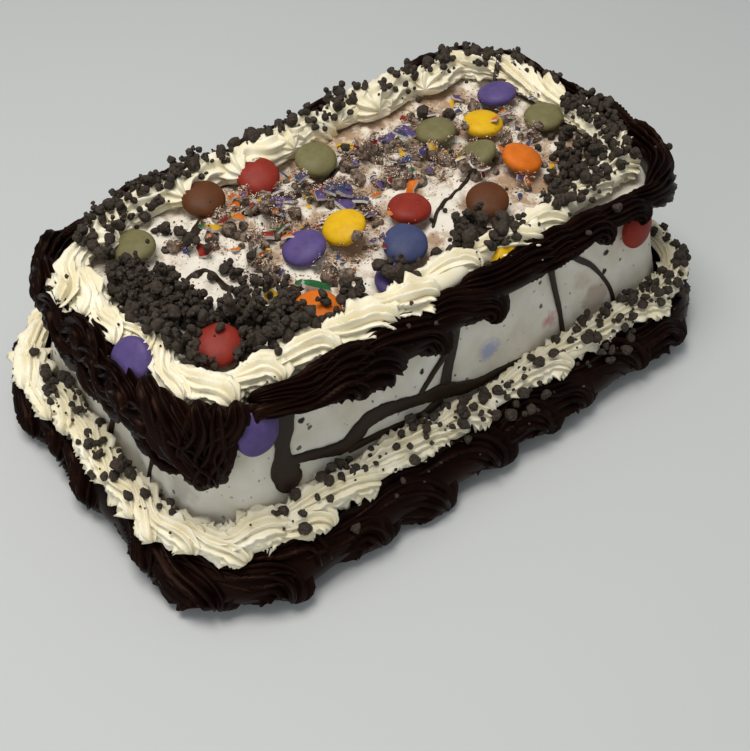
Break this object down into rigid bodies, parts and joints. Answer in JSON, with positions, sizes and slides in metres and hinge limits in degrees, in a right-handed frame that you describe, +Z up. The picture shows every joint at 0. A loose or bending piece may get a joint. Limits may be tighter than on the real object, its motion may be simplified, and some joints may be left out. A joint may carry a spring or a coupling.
{
  "type": "ice cream cake",
  "caption": "Loaf-shaped cookies and cream ice cream cake with piped chocolate and cream borders, chocolate buttons, biscuit crumbs and sauce.",
  "frame": {"origin": "middle of the loaf's flat underside, on the surface that the cake stands on", "axes": "+Z up, +X along the long side, +Y across the short side"},
  "size_m": [0.2512, 0.1632, 0.0791],
  "materials": {
    "ice_cream": "frozen, smooth and matte",
    "chocolate_frosting": "piped, satin",
    "whipped_cream": "piped, soft and matte",
    "biscuit_crumb": "rough and dry",
    "chocolate_sauce": "set sauce, satin",
    "red_shell": "sugar shell, dull sheen",
    "orange_shell": "sugar shell, dull sheen",
    "purple_shell": "sugar shell, dull sheen",
    "yellow_shell": "sugar shell, dull sheen",
    "blue_shell": "sugar shell, dull sheen",
    "brown_shell": "sugar shell, dull sheen",
    "green_shell": "sugar shell, dull sheen"
  },
  "bodies": {
    "root": {"ice_cream_loaf": "ice_cream", "lower_chocolate_border": "chocolate_frosting", "lower_cream_border": "whipped_cream", "upper_chocolate_border": "chocolate_frosting", "upper_cream_border": "whipped_cream", "button_red_front": "red_shell", "button_orange_front": "orange_shell", "button_purple_middle": "purple_shell", "button_yellow_middle": "yellow_shell", "button_blue": "blue_shell", "button_red_middle": "red_shell", "button_brown_right": "brown_shell", "button_brown_left": "brown_shell", "button_red_back": "red_shell", "button_green_back": "green_shell", "button_green_centre": "green_shell", "button_yellow_back": "yellow_shell", "button_green_leaning": "green_shell", "button_orange_back": "orange_shell", "button_purple_back": "purple_shell", "button_green_right": "green_shell", "button_green_left": "green_shell", "button_purple_tucked": "purple_shell", "button_purple_side": "purple_shell", "button_purple_end": "purple_shell", "button_red_side": "red_shell", "button_yellow_side": "yellow_shell"}
  },
  "joints": []
}
